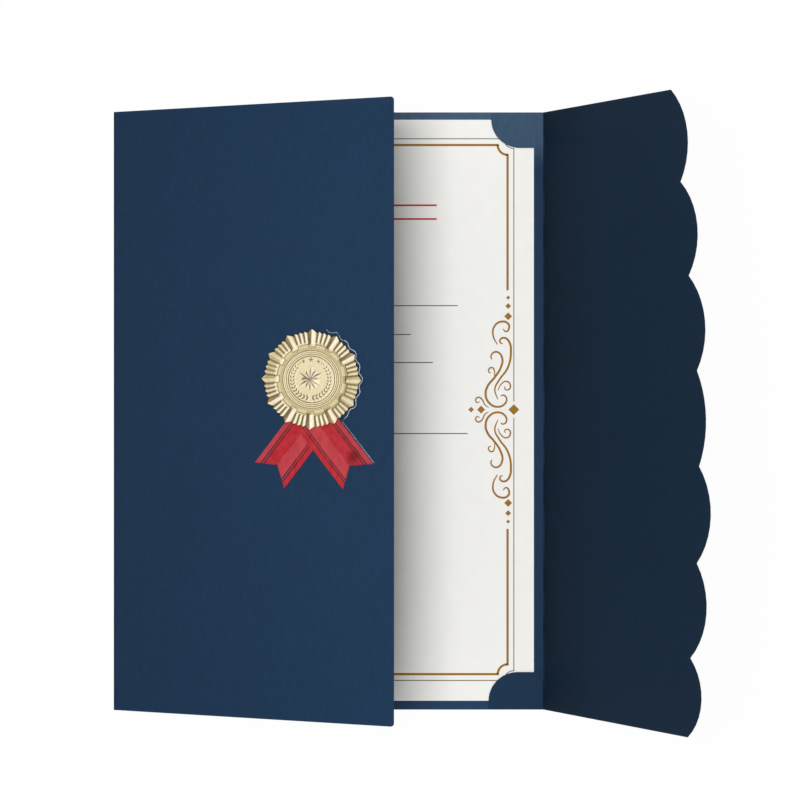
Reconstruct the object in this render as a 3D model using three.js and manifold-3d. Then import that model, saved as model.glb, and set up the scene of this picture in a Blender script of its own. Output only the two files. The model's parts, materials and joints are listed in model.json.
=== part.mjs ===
// A gatefold certificate cover of navy card that lies on its back panel.
// Two flaps are creased to the back panel: the left one is half closed and carries a gold seal with two
// ribbons, the scalloped right one is opened outwards. Four corner pockets hold an A4 certificate.
// Millimetres, +Z up. The origin is the centre of the back panel's underside, +X runs from the left
// crease to the right one and +Y to the head of the certificate.
import * as THREE from 'three';
import { mergeVertices } from 'three/addons/utils/BufferGeometryUtils.js';
import Module from 'manifold-3d';

const wasm = await Module();
wasm.setup();

// Stock
const cardThickness = 0.45;
const paperThickness = 0.2;
const ribbonThickness = 0.2;
const printHeight = 0.05;

// Certificate
const sheetWidth = 210;
const sheetHeight = 297;
const sheetPlay = 0.3; // beside the sheet, inside the pockets
const sheetHeadroom = 0.1; // above the sheet, under the pockets

// Back panel: its margins round the sheet, and its creases
const sideMargin = 4;
const endMargin = 3.8;
const creaseGap = 0.3; // from a fold line to the flap's flat card
const closingGap = 0.15; // between the pockets and a closed flap

// Left flap
const leftFlapWidth = 149.5;
const leftFlapLift = 17.9; // degrees above the back panel
const leftCornerRadius = 1.6;

// Right flap
const rightFlapLift = 50.2; // degrees above the table, on the far side of its crease
const reachAtHead = 85.1; // from the crease to the free edge
const scallops = [ // head to foot: length down the edge, rise over its chord, reach where it ends
  { length: 44.1, rise: 7.2, reach: 91 },
  { length: 44.4, rise: 7.8, reach: 96 },
  { length: 44.5, rise: 7.4, reach: 101 },
  { length: 44.6, rise: 4.8, reach: 102.3 },
  { length: 45.2, rise: 7.7, reach: 100.9 },
  { length: 44.6, rise: 7.8, reach: 97 },
];
const lastScallop = { rise: 7.5, reach: 95.5 }; // runs on to the foot

// Corner pockets: quarter rounds that run straight on to the panel's side, with a glued leg along it. The
// round's centre lies inside the sheet's side edge and beyond its end, and the leg's length is from that end.
const pocketEdgeMargin = 0.6; // from the panel's edges
const headPocket = { radius: 14.5, inside: 8, beyond: 0.1, legLength: 20.2 };
const footPocket = { radius: 14.8, inside: 9.1, beyond: -0.6, legLength: 16.1 };
const legChamfer = { across: 2.3, along: 4.9 };

// Printed frame, measured in from the sheet's edges
const thickLine = { inset: 13.5, width: 1.1, cornerRadius: 5, sideGap: 121.6 };
const thinLine = { inset: 10.4, width: 0.4, cornerRadius: 5, sideGap: 8.2 };

// Printed side ornament, measured from its centre on the thin line: x outwards, y to the head
const middleDiamonds = [
  { x: 0, y: 0, half: 2.6 },
  { x: -16.7, y: 0, half: 1.9 },
  { x: -21.8, y: 0, half: 1.3 },
];
const lineDiamonds = [
  { x: -2.9, y: 47.6, half: 1.9 },
  { x: -2.9, y: 53, half: 1.3 },
  { x: -2.9, y: 57.3, half: 0.9 },
];
const scrollWidth = 0.9;
const scrolls = [
  [[-8.6, 33.2], [-10.6, 38.3], [-9.4, 43], [-6.1, 45.1], [-2.9, 43], [-3.2, 40.4], [-5.3, 41]],
  [[-6.4, 35.2], [-4.8, 36.6], [-1.9, 33.4], [-1.5, 28], [-3.6, 20.6], [-7.8, 14.6], [-9.7, 10], [-8.4, 5.3]],
  [[-11.2, 25.6], [-9, 28.9], [-6, 25.6], [-7.2, 20.4], [-12, 13.8], [-14.3, 7.9], [-12.2, 3.2], [-7.8, 1.6],
    [-4.2, 4.1], [-5.6, 7.2]],
  [[-8.2, 9.6], [-6.1, 13.2], [-3.6, 14], [-2.1, 12], [-3.6, 10.2]],
  [[-12.9, 1.3], [-15.2, 3.8], [-17.2, 5.8], [-19, 5.2], [-18.2, 3.8]],
];

// Printed rules where a certificate's lines are written: half length and height above the centre
const headingRules = [
  { half: 55.3, y: 104.2, width: 0.9 },
  { half: 55.3, y: 97.2, width: 0.9 },
];
const headingDiamond = { x: 0, y: 100.7, half: 2.4 };
const writingRules = [
  { half: 66, y: 53, width: 0.45 },
  { half: 42, y: 38.3, width: 0.45 },
  { half: 53.3, y: 24, width: 0.45 },
  { half: 71, y: -12.2, width: 0.45 },
];

// Seal and ribbons on the left flap
const sealFromEdge = 42.2; // the seal's centre from the flap's free edge
const sealAboveMiddle = 15.7;
const sealRadius = 25; // to the tips of the main pleats
const smallPleatRadius = 23.9;
const pleatValleyRadius = 23.1;
const pleatStart = 16.3;
const pleatDepth = 0.35;
const mainPleats = 12;
const smallPleats = 3; // between two main ones
const mainPleatSpread = 12; // degrees about the seal's centre
const sealRings = [[20.6, 0.62], [17.7, 0.85], [pleatStart, 0.85], [15.9, 0.6], [14.6, 0.6], [14.2, 0.85],
  [13.2, 0.6], [12.4, 0.85], [11.6, 0.55]]; // radius and height
const sealEdge = 0.35;
const starRadius = 6;
const starRings = [[starRadius, 0.55], [3.2, 0.8], [1.2, 1.3]];
const starRise = 0.3;
const stickGap = 0.25; // adhesive between what is stuck on the flap
const ribbonWidth = 20;
const ribbonLength = 46; // from the middle of the tips to the hidden end
const ribbonNotch = 6.8;
const ribbonLean = 39; // degrees from the flap's length
const ribbonTipSpread = 23.2; // the middle of each ribbon's tips beside the seal's centre
const ribbonTipDrop = 47.4; // and below it
const ribbonTipShift = 0.7; // both ribbons, towards the flap's free edge

// Slit beside the seal, for the edge of the right flap
const slitWidth = 0.5;
const slitFromSeal = 0.3; // outside the tips of the seal
const slitTipRise = 0.25; // at each main pleat
const slitWaveRise = 0.65; // at each main pleat and at each middle between two
const slitStartAngle = 73; // degrees about the seal's centre
const slitEndAngle = -50;
const slitFromRibbon = 0.7;

// Places that follow from the sizes above
const panelWidth = sheetWidth + 2 * sideMargin;
const panelHeight = sheetHeight + 2 * endMargin;
const halfWidth = panelWidth / 2;
const halfHeight = panelHeight / 2;
const sheetTop = cardThickness + paperThickness;
const pocketTop = sheetTop + sheetHeadroom + cardThickness;
const foldHeight = (pocketTop + closingGap + cardThickness) / 2; // of each crease's axis
const sheetCorner = new THREE.Vector2(sheetWidth / 2, sheetHeight / 2);
const printSink = paperThickness / 2; // the print's relief starts inside the paper
const sealCentre = new THREE.Vector2(leftFlapWidth - sealFromEdge, sealAboveMiddle);

const card = (color) => new THREE.MeshStandardMaterial({ color, roughness: 0.8, metalness: 0 });
const outerCard = card('#213854');
const innerCard = card('#19293f');
const marginCard = card('#213652');
const pocketCard = card('#2a4261');
const paper = new THREE.MeshStandardMaterial({ color: '#edece8', roughness: 0.75, metalness: 0 });
const goldFoil = new THREE.MeshStandardMaterial({ color: '#decd9b', roughness: 0.4, metalness: 0.5 });
const redRibbon = new THREE.MeshStandardMaterial({ color: '#c82332', roughness: 0.5, metalness: 0 });
const pinkRibbon = new THREE.MeshStandardMaterial({ color: '#cc3d4c', roughness: 0.5, metalness: 0 });

// Geometry helpers

const point = (x, y) => new THREE.Vector2(x, y);

function arcPoints(centre, radius, fromDegrees, toDegrees, steps) {
  return Array.from({ length: steps + 1 }, (_, i) => {
    const angle = THREE.MathUtils.degToRad(fromDegrees + ((toDegrees - fromDegrees) * i) / steps);
    return point(centre.x + radius * Math.cos(angle), centre.y + radius * Math.sin(angle));
  });
}

function prism(outline, bottom, top) {
  const geometry = new THREE.ExtrudeGeometry(new THREE.Shape(outline), {
    depth: top - bottom,
    bevelEnabled: false,
  });
  return geometry.translate(0, 0, bottom);
}

function rectangle(x0, y0, x1, y1) {
  return [point(x0, y0), point(x1, y0), point(x1, y1), point(x0, y1)];
}

// A band that follows a line of points, mitred where it turns. widthAt gives its width at a share of the way.
function band(line, widthAt) {
  const normals = line.slice(1).map((to, i) => point(line[i].y - to.y, to.x - line[i].x).normalize());
  const sides = [[], []];
  line.forEach((here, i) => {
    const before = normals[Math.max(i - 1, 0)];
    const after = normals[Math.min(i, normals.length - 1)];
    const across = before.clone().add(after).normalize();
    const half = widthAt(i / (line.length - 1)) / 2 / across.dot(after);
    sides[0].push(here.clone().addScaledVector(across, half));
    sides[1].unshift(here.clone().addScaledVector(across, -half));
  });
  return [...sides[0], ...sides[1]];
}

function toSolid(geometry) {
  const bare = geometry.index ? geometry.toNonIndexed() : geometry.clone();
  bare.deleteAttribute('normal');
  bare.deleteAttribute('uv');
  const merged = mergeVertices(bare, 1e-4);
  return new wasm.Manifold(new wasm.Mesh({
    numProp: 3,
    vertProperties: merged.attributes.position.array,
    triVerts: Uint32Array.from(merged.index.array),
  }));
}

function toGeometry(solid) {
  const { vertProperties, triVerts } = solid.getMesh();
  const geometry = new THREE.BufferGeometry();
  geometry.setAttribute('position', new THREE.BufferAttribute(vertProperties, 3));
  geometry.setIndex(new THREE.BufferAttribute(triVerts, 1));
  geometry.computeVertexNormals();
  return geometry;
}

function join(geometries) {
  return geometries.map(toSolid).reduce((all, solid) => all.add(solid));
}

function named(name, geometry, material) {
  const mesh = new THREE.Mesh(geometry, material);
  mesh.name = name;
  return mesh;
}

// Back panel

function backPanel() {
  return prism(rectangle(-halfWidth, -halfHeight, halfWidth, halfHeight), 0, cardThickness);
}

// Left flap, in its own frame: x from the crease's axis, z out of its outer face

const flapOuterFace = foldHeight;
const flapInnerFace = foldHeight - cardThickness;

// side is -1 for the left ribbon and 1 for the right one
function ribbonLine(side) {
  const lean = THREE.MathUtils.degToRad(ribbonLean);
  const along = point(-side * Math.sin(lean), Math.cos(lean));
  const across = point(along.y, -along.x);
  const tips = point(sealCentre.x + ribbonTipShift + side * ribbonTipSpread, sealCentre.y - ribbonTipDrop);
  return { tips, along, across };
}

// Round the seal in waves, then down the right ribbon's edge
function slitLine() {
  const stepsPerPleat = 10;
  const stepAngle = 360 / mainPleats / stepsPerPleat;
  const line = [];
  for (let angle = slitStartAngle; angle > slitEndAngle; angle -= stepAngle) {
    const phase = THREE.MathUtils.degToRad(angle * mainPleats);
    const waves = slitTipRise * Math.cos(phase) + slitWaveRise * Math.cos(2 * phase);
    line.push(...arcPoints(sealCentre, sealRadius + slitFromSeal + waves, angle, angle, 1).slice(1));
  }
  const { tips, along, across } = ribbonLine(1);
  const foot = tips.clone().addScaledVector(across, ribbonWidth / 2 + slitFromRibbon);
  const upTheRibbon = line[line.length - 1].clone().sub(foot).dot(along);
  return [...line, foot.clone().addScaledVector(along, upTheRibbon - slitWidth), foot];
}

function leftFlap() {
  const r = leftCornerRadius;
  const headCorner = arcPoints(point(leftFlapWidth - r, halfHeight - r), r, 0, 90, 4);
  const footCorner = arcPoints(point(leftFlapWidth - r, -halfHeight + r), r, -90, 0, 4);
  const outline = [point(creaseGap, -halfHeight), ...footCorner, ...headCorner, point(creaseGap, halfHeight)];
  const panel = toSolid(prism(outline, flapInnerFace, flapOuterFace));
  const slit = toSolid(prism(band(slitLine(), () => slitWidth), flapInnerFace - 1, flapOuterFace + 1));
  return toGeometry(panel.subtract(slit));
}

function ribbon(side, bottom) {
  const { tips, along, across } = ribbonLine(side);
  const at = (sideways, upwards) => tips.clone()
    .addScaledVector(across, sideways)
    .addScaledVector(along, upwards);
  const half = ribbonWidth / 2;
  const outline = [
    at(-half, 0), at(0, ribbonNotch), at(half, 0), at(half, ribbonLength), at(-half, ribbonLength),
  ];
  return prism(outline, bottom, bottom + ribbonThickness);
}

// The seal is a lathed disc. Its rim and the star are pleated: each crest and each valley is one step of
// the lathe, and the main pleats are spread wider than the small ones.
function seal(bottom) {
  const top = [[sealRadius, sealEdge], ...sealRings, ...starRings, [0, starRings[starRings.length - 1][1]]];
  const underside = [point(0, 0), point(sealRadius, 0)];
  const profile = [...underside, ...top.map(([radius, height]) => point(radius, height))];
  const stepsPerPleat = 2 * (smallPleats + 1);
  const steps = mainPleats * stepsPerPleat;
  const pleatAngle = 360 / mainPleats;
  const smallStep = (pleatAngle - mainPleatSpread) / (2 * smallPleats);
  const geometry = new THREE.LatheGeometry(profile, steps).rotateX(Math.PI / 2);
  const position = geometry.attributes.position;
  for (let i = 0; i < position.count; i += 1) {
    const radius = Math.hypot(position.getX(i), position.getY(i));
    const turn = Math.atan2(position.getY(i), position.getX(i)) / (2 * Math.PI);
    const step = (Math.round(turn * steps) + steps) % steps;
    const inPleat = step % stepsPerPleat;
    const fromMain = inPleat === 0 ? 0 : mainPleatSpread / 2 + (inPleat - 1) * smallStep;
    const angle = THREE.MathUtils.degToRad(Math.floor(step / stepsPerPleat) * pleatAngle + fromMain);
    let reach = radius;
    let height = position.getZ(i);
    if (radius > pleatStart + 0.1) {
      let rim = pleatValleyRadius;
      if (inPleat === 0) rim = sealRadius;
      else if (inPleat % 2 === 0) rim = smallPleatRadius;
      const share = (radius - pleatStart) / (sealRadius - pleatStart);
      reach = pleatStart + (rim - pleatStart) * share;
      if (height > 0 && inPleat % 2 === 0) height += pleatDepth * share;
    } else if (height > 0 && radius > 0.1 && radius < starRadius - 0.1 && inPleat === 0) {
      height += starRise;
    }
    position.setXYZ(i, reach * Math.cos(angle), reach * Math.sin(angle), height);
  }
  return geometry.translate(sealCentre.x, sealCentre.y, bottom);
}

// Right flap, in its own frame: x from the crease's axis, z out of its inner face

function scallopedEdge() {
  const edge = [point(reachAtHead, halfHeight)];
  const add = (reach, y, rise) => {
    edge.push(...scallop(edge[edge.length - 1], point(reach, y), rise).slice(1));
  };
  scallops.forEach(({ length, rise, reach }) => add(reach, edge[edge.length - 1].y - length, rise));
  add(lastScallop.reach, -halfHeight, lastScallop.rise);
  return edge;
}

// One scallop: the arc that rises this far over the chord between two notches
function scallop(from, to, rise) {
  const chord = from.distanceTo(to);
  const radius = (chord * chord / 4 + rise * rise) / (2 * rise);
  const outwards = point(from.y - to.y, to.x - from.x).divideScalar(chord);
  const middle = from.clone().add(to).multiplyScalar(0.5);
  const centre = middle.addScaledVector(outwards, rise - radius);
  const degrees = (end) => THREE.MathUtils.radToDeg(Math.atan2(end.y - centre.y, end.x - centre.x));
  return arcPoints(centre, radius, degrees(from), degrees(to), 10);
}

function rightFlap() {
  const outline = [point(creaseGap, halfHeight), ...scallopedEdge(), point(creaseGap, -halfHeight)];
  return prism(outline, -flapOuterFace, -flapInnerFace);
}

// Corner pockets. side is 1 at the right crease and -1 at the left one, end is 1 at the head.

function pocket(size, side, end) {
  const centre = point(sheetCorner.x - size.inside, sheetCorner.y + size.beyond);
  const stepX = sheetCorner.x + sheetPlay;
  const stepY = sheetCorner.y + sheetPlay;
  const outerX = halfWidth - pocketEdgeMargin;
  const outerY = halfHeight - pocketEdgeMargin;
  const wallX = stepX + cardThickness;
  const wallY = stepY + cardThickness;
  const startAngle = 180 + THREE.MathUtils.radToDeg(Math.asin((centre.y - wallY) / size.radius));
  const curve = arcPoints(centre, size.radius, startAngle, 270, 14);
  const startX = curve[0].x;
  const over = [...curve, point(wallX, centre.y - size.radius), point(wallX, wallY)];
  const legEnd = sheetCorner.y - size.legLength;
  const glued = [
    point(startX, stepY), point(stepX, stepY), point(stepX, legEnd),
    point(outerX - legChamfer.across, legEnd), point(outerX, legEnd + legChamfer.along),
    point(outerX, outerY), point(startX, outerY),
  ];
  const placed = (outline) => outline.map((p) => point(p.x * side, p.y * end));
  return toGeometry(join([
    prism(placed(over), sheetTop + sheetHeadroom, pocketTop),
    prism(placed(glued), cardThickness, cardThickness * 2),
  ]));
}

// Certificate sheet with its print as a slight relief

// Half of a frame line: up from one side's gap, round a concave corner, across the sheet and down again
function frameLine({ inset, width, cornerRadius, sideGap }) {
  const x = sheetCorner.x - inset;
  const y = sheetCorner.y - inset;
  const quarter = [point(x, sideGap / 2), ...arcPoints(point(x, y), cornerRadius, 270, 180, 6)];
  const mirrored = quarter.map((p) => point(-p.x, p.y)).reverse();
  return band([...quarter, ...mirrored], () => width);
}

function diamond({ x, y, half }) {
  return [point(x - half, y), point(x, y - half), point(x + half, y), point(x, y + half)];
}

function scroll(points) {
  const curve = new THREE.SplineCurve(points.map(([x, y]) => point(x, y)));
  const taper = (share) => scrollWidth * (0.3 + 0.7 * Math.sin(Math.PI * share));
  return band(curve.getPoints(points.length * 2), taper);
}

function certificateSheet() {
  const sheet = toSolid(prism(
    rectangle(-sheetCorner.x, -sheetCorner.y, sheetCorner.x, sheetCorner.y), cardThickness, sheetTop));
  const ornamentX = sheetCorner.x - thinLine.inset;
  const onSide = (outline, side, end) => outline.map((p) => point((p.x + ornamentX) * side, p.y * end));
  const middle = middleDiamonds.map(diamond);
  const corners = [...lineDiamonds.map(diamond), ...scrolls.map(scroll)];
  const print = [...headingRules, ...writingRules].map(({ half, y, width }) => {
    return rectangle(-half, y - width / 2, half, y + width / 2);
  });
  print.push(diamond(headingDiamond));
  for (const end of [1, -1]) {
    for (const line of [thickLine, thinLine]) {
      print.push(frameLine(line).map((p) => point(p.x, p.y * end)));
    }
  }
  for (const side of [1, -1]) {
    print.push(...middle.map((outline) => onSide(outline, side, 1)));
    for (const end of [1, -1]) {
      print.push(...corners.map((outline) => onSide(outline, side, end)));
    }
  }
  const relief = join(print.map((outline) => prism(outline, sheetTop - printSink, sheetTop + printHeight)));
  return toGeometry(sheet.add(relief));
}

// The cover

const cover = new THREE.Group();
cover.add(named('back_panel', backPanel(), marginCard));
cover.add(named('certificate_sheet', certificateSheet(), paper));
cover.add(named('pocket_head_right', pocket(headPocket, 1, 1), pocketCard));
cover.add(named('pocket_foot_right', pocket(footPocket, 1, -1), marginCard));
cover.add(named('pocket_head_left', pocket(headPocket, -1, 1), pocketCard));
cover.add(named('pocket_foot_left', pocket(footPocket, -1, -1), marginCard));

const leftHinge = new THREE.Group();
leftHinge.position.set(-halfWidth, 0, foldHeight);
leftHinge.rotation.y = -THREE.MathUtils.degToRad(leftFlapLift);
const underRibbon = flapOuterFace + stickGap;
const overRibbon = underRibbon + ribbonThickness + stickGap;
const underSeal = overRibbon + ribbonThickness + stickGap;
leftHinge.add(named('left_flap', leftFlap(), outerCard));
leftHinge.add(named('ribbon_left', ribbon(-1, underRibbon), redRibbon));
leftHinge.add(named('ribbon_right', ribbon(1, overRibbon), pinkRibbon));
leftHinge.add(named('seal_rosette', seal(underSeal), goldFoil));
cover.add(leftHinge);

const rightHinge = new THREE.Group();
rightHinge.position.set(halfWidth, 0, foldHeight);
rightHinge.rotation.y = -THREE.MathUtils.degToRad(rightFlapLift);
rightHinge.add(named('right_flap', rightFlap(), innerCard));
cover.add(rightHinge);

export default cover;
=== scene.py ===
"""A gatefold certificate cover of navy card, dressed round its fixed frame.

The flat card stays as the frame has it and gets its finish here. The creases, the slit's core, the
certificate with its print, the seal and the ribbons are modelled. Lengths are in metres, and MM turns
millimetres into them.
"""

import json
import math

import bmesh
import bpy
from bpy.props import FloatProperty, FloatVectorProperty, IntProperty, PointerProperty
from mathutils import Matrix, Vector


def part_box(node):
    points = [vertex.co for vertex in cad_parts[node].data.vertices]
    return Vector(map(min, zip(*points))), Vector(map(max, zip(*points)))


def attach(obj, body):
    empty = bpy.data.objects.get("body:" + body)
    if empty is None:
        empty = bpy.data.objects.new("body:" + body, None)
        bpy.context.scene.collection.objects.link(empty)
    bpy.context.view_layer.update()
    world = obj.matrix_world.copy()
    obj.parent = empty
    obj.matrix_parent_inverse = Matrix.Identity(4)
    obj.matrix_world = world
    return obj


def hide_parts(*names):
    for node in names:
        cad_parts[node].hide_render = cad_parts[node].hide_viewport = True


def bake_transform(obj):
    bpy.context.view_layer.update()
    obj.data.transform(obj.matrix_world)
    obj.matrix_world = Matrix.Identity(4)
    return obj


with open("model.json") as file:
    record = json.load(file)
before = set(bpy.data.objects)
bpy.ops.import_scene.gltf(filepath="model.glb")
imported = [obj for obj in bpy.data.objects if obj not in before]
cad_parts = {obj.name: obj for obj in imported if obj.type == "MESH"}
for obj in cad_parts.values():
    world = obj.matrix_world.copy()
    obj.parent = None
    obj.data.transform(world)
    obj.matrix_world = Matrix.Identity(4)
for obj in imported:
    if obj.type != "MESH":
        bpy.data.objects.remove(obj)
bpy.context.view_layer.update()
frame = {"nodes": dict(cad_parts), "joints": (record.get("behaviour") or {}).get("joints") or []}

bl_info = {
    "name": "Certificate Cover",
    "version": (1, 0, 0),
    "blender": (4, 5, 0),
    "location": "View3D > Sidebar > Cover",
    "description": "Dresses a gatefold certificate cover: card, creases, certificate, seal and ribbons",
    "category": "Object",
}

MM = 0.001
BACK, PLAIN_FLAP, SCALLOPED_FLAP = "back", "plain_flap", "scalloped_flap"
FLAP_CARDS = {PLAIN_FLAP: "left_flap", SCALLOPED_FLAP: "right_flap"}


def srgb(red, green, blue):
    """Scene colour of a colour written as 0 to 255."""
    return tuple(
        c / 12.92 if c <= 0.04045 else ((c + 0.055) / 1.055) ** 2.4
        for c in (red / 255, green / 255, blue / 255)
    )


def colour(name, description, value):
    """A colour property."""
    return FloatVectorProperty(
        name=name, description=description, subtype="COLOR", size=3, min=0, max=1, default=srgb(*value)
    )


def length(name, description, millimetres):
    """A length property, written in millimetres."""
    return FloatProperty(
        name=name, description=description, unit="LENGTH", subtype="DISTANCE", min=0,
        default=millimetres * MM,
    )


def degrees(name, description, value):
    """An angle property, written in degrees."""
    return FloatProperty(
        name=name, description=description, unit="ROTATION", subtype="ANGLE", default=math.radians(value)
    )


def number(name, description, value):
    """A plain number property that isn't negative."""
    return FloatProperty(name=name, description=description, min=0, default=value)


def position(name, description, metres):
    """A property for a place in the scene."""
    return FloatVectorProperty(name=name, description=description, unit="LENGTH", size=3, default=metres)


class CardSettings(bpy.types.PropertyGroup):
    """The navy card and its creases"""

    outer: colour("Outer face", "Colour of the card outside, on the plain flap", (12, 42, 69))
    # Painted shade: the inner face is darker than the outer face because the scalloped flap faces away from
    # the light.
    inner: colour("Inner face", "Colour of the card inside, on the scalloped flap", (9, 32, 51))
    panel: colour("Panel", "Colour of the panel's foot strip", (24, 56, 88))
    # Painted shade: the panel is darker on its strip beside the scalloped flap's crease, where the raised
    # flap keeps the light off.
    shaded_panel_side: colour("Panel side", "Colour of the panel's side strips", (9, 43, 71))
    # Painted sheen: the panel's head strip is lighter where the light falls on it.
    sheen_panel_head: colour("Panel head", "Colour of the panel's head strip, in the light", (60, 84, 111))
    pocket: colour("Foot pockets", "Colour of the pockets at the foot", (9, 43, 70))
    # Painted sheen: the head pockets are lighter than the foot pockets.
    sheen_pocket_head: colour("Head pockets", "Colour of the pockets at the head", (50, 76, 101))
    # Partly cracked coating, partly a painted highlight: the ridge along a crease is lighter where the
    # coating cracks and where light catches it.
    wear_and_highlight: colour("Worn ridge", "Colour of the coating where a crease has cracked it", (66, 94, 124))
    core: colour("Core", "Colour of the card's cut core", (222, 228, 236))
    crease_steps: IntProperty(name="Crease steps", description="Faces round a crease", min=4, default=18)
    core_width: length("Cut width", "Width of the pale core that shows in the slit", 0.42)


class CertificateSettings(bpy.types.PropertyGroup):
    """The held sheet and its print"""

    paper: colour("Paper", "Colour of the sheet", (241, 240, 236))
    gold: colour("Gold print", "Colour of the printed frame and ornament", (152, 106, 24))
    fine: colour("Thin line", "Colour of the frame's thin line", (112, 98, 66))
    heading: colour("Heading print", "Colour of the heading's rules", (190, 30, 42))
    writing: colour("Writing rules", "Colour of the rules to write on", (52, 54, 72))
    print_height: length("Print height", "How far the print stands above the sheet", 0.02)
    trim: length("Trim", "How far the sheet stops short of its place at the foot and the right", 0.75)
    thick_inset: length("Thick line inset", "From the sheet's edge to the thick line", 13.6)
    thick_width: length("Thick line", "Width of the frame's thick line", 1.16)
    thick_gap: length("Thick line gap", "Opening of the thick line at each side", 121.6)
    thin_inset: length("Thin line inset", "From the sheet's edge to the thin line", 10.4)
    thin_width: length("Thin line", "Width of the frame's thin line", 0.46)
    thin_gap: length("Thin line gap", "Opening of the thin line at each side", 8.2)
    rise: length("Print rise", "How far the print sits towards the head of the sheet", 0.7)
    aside: length("Print aside", "How far the print sits towards the left of the sheet", 0.55)
    corner_radius: length("Corner radius", "Radius of the frame's hollow corners", 5)


class SealSettings(bpy.types.PropertyGroup):
    """The embossed seal"""

    # The foil's colours are painted light and shade: lit, plain, shaded, and darkest in the recesses.
    light: colour("Lit foil", "Colour of the gold foil where it faces the light", (250, 240, 212))
    foil: colour("Foil", "Colour of the gold foil", (202, 187, 141))
    shade: colour("Shaded foil", "Colour of the foil on the far side of a pleat", (138, 116, 68))
    groove_shade: colour("Grooves", "Colour of the foil deep in its grooves", (54, 40, 18))
    pleats: IntProperty(name="Pleats", description="Main pleats round the rim", min=3, default=12)
    pleat_spread: degrees("Main pleat", "Angle that a main pleat takes", 12)
    small_radius: length("Small pleats", "Radius to the tips of the small pleats", 23.9)
    valley_radius: length("Valleys", "Radius to the valleys between pleats", 23.1)
    pleat_start: length("Pleat start", "Radius where the main pleats begin", 16.6)
    small_start: length("Small pleat start", "Radius where the small pleats begin", 17.9)
    turn: degrees("Turn", "Turn of the seal about its centre", -1.3)
    rings: IntProperty(name="Rings", description="Rings of faces from centre to rim", min=20, default=110)
    spokes: IntProperty(name="Spokes", description="Faces per main pleat", min=20, default=40)
    thickness: length("Thickness", "Thickness of the foil at the rim", 0.25)
    lift: length("Lift", "From the flap's face to the seal, over the ribbons", 0.62)
    across: number("Across", "Stretch along the flap's width", 1.04)
    along: number("Along", "Stretch along the flap's length", 0.985)


class RibbonSettings(bpy.types.PropertyGroup):
    """The two ribbon tails"""

    red: colour("Red", "Colour of the ribbon's red half", (172, 22, 34))
    # Painted sheen: this half is the lit side of the satin; the red half is its plain colour.
    sheen_pink: colour("Pink", "Colour of the half that catches the light", (184, 62, 70))
    width: length("Width", "Width of a ribbon", 20)
    reach: length("Length", "From the middle of the tips to the hidden end", 45)
    notch: length("Notch", "Depth of the notch in the end", 6.8)
    lean: degrees("Lean", "Angle from the flap's length", 39)
    spread: length("Spread", "From the seal's centre out to the middle of the tips", 23.2)
    drop: length("Drop", "From the seal's centre down to the middle of the tips", 47.4)
    shift: length("Shift", "From the seal's centre to the middle between both tails", 0.7)
    thickness: length("Thickness", "Thickness of the satin", 0.14)
    lift: length("Lift", "From the flap's face to the satin", 0.05)
    ridge: length("Ridge", "Height of the low ridge along the middle", 0.22)
    pressed: length("Pressed lines", "Depth of the pressed lines", 0.1)
    wave: length("Waves", "Height of the satin's long waves", 0.12)
    climb: length("Climb", "How far the right tail climbs over the left one", 0.5)


class StageSettings(bpy.types.PropertyGroup):
    """Camera, floor and light"""

    camera_place: position("Camera", "Place of the camera", (0.0360, 0.0056, 0.8930))
    lens: number("Lens", "Focal length in millimetres", 78.75)
    key_power: number("Key light", "Power of the softbox in watts", 10.8)
    key_size: length("Softbox", "Side of the square softbox", 750)
    key_place: position("Softbox place", "Place of the softbox", (-0.33, 0.05, 1.25))
    sheen_power: number("Head lamp", "Power of the head lamp in watts", 0.5)
    sheen_size: length("Head lamp size", "Side of the square head lamp", 300)
    sheen_place: position("Head lamp place", "Place of the lamp beyond the head", (0.05, 0.44, 1.2))
    fill: number("Fill", "Strength of the even light all round", 0.535)


# The frame's own places

JOINTS = {joint["name"]: joint for joint in frame["joints"]}


def crease(name):
    """A crease's axis point, and the resting flap's lift in radians.

    The plain flap's lift is measured from the panel, the scalloped flap's from the table.
    """
    joint = JOINTS[name]
    low, high = joint["range_deg"]
    lift = -low if joint["child"] == PLAIN_FLAP else high
    return Vector(joint["pos_m"]), math.radians(lift)


def flap_matrix(name):
    """The frame of a flap at rest: x along the flap from its crease, y to the certificate's head."""
    place, lift = crease(name)
    return Matrix.Translation(place) @ Matrix.Rotation(-lift, 4, "Y")


def flap_box(node, name):
    """Lowest and highest corner of a node in its flap's frame."""
    back = flap_matrix(name).inverted()
    points = [back @ vertex.co for vertex in frame["nodes"][node].data.vertices]
    low = Vector([min(p[i] for p in points) for i in range(3)])
    high = Vector([max(p[i] for p in points) for i in range(3)])
    return low, high


PLAIN_MATRIX = flap_matrix("plain_flap_crease")
PANEL_LOW, PANEL_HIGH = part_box("back_panel")
CARD = PANEL_HIGH.z
SHEET_LOW, SHEET_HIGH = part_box("certificate_sheet")
SEAL_LOW, SEAL_HIGH = flap_box("seal_rosette", "plain_flap_crease")
SEAL_CENTRE = (SEAL_LOW + SEAL_HIGH) / 2
SEAL_RADIUS = (SEAL_HIGH.y - SEAL_LOW.y) / 2
FLAP_FACE = flap_box("left_flap", "plain_flap_crease")[1].z


# Materials


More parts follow.
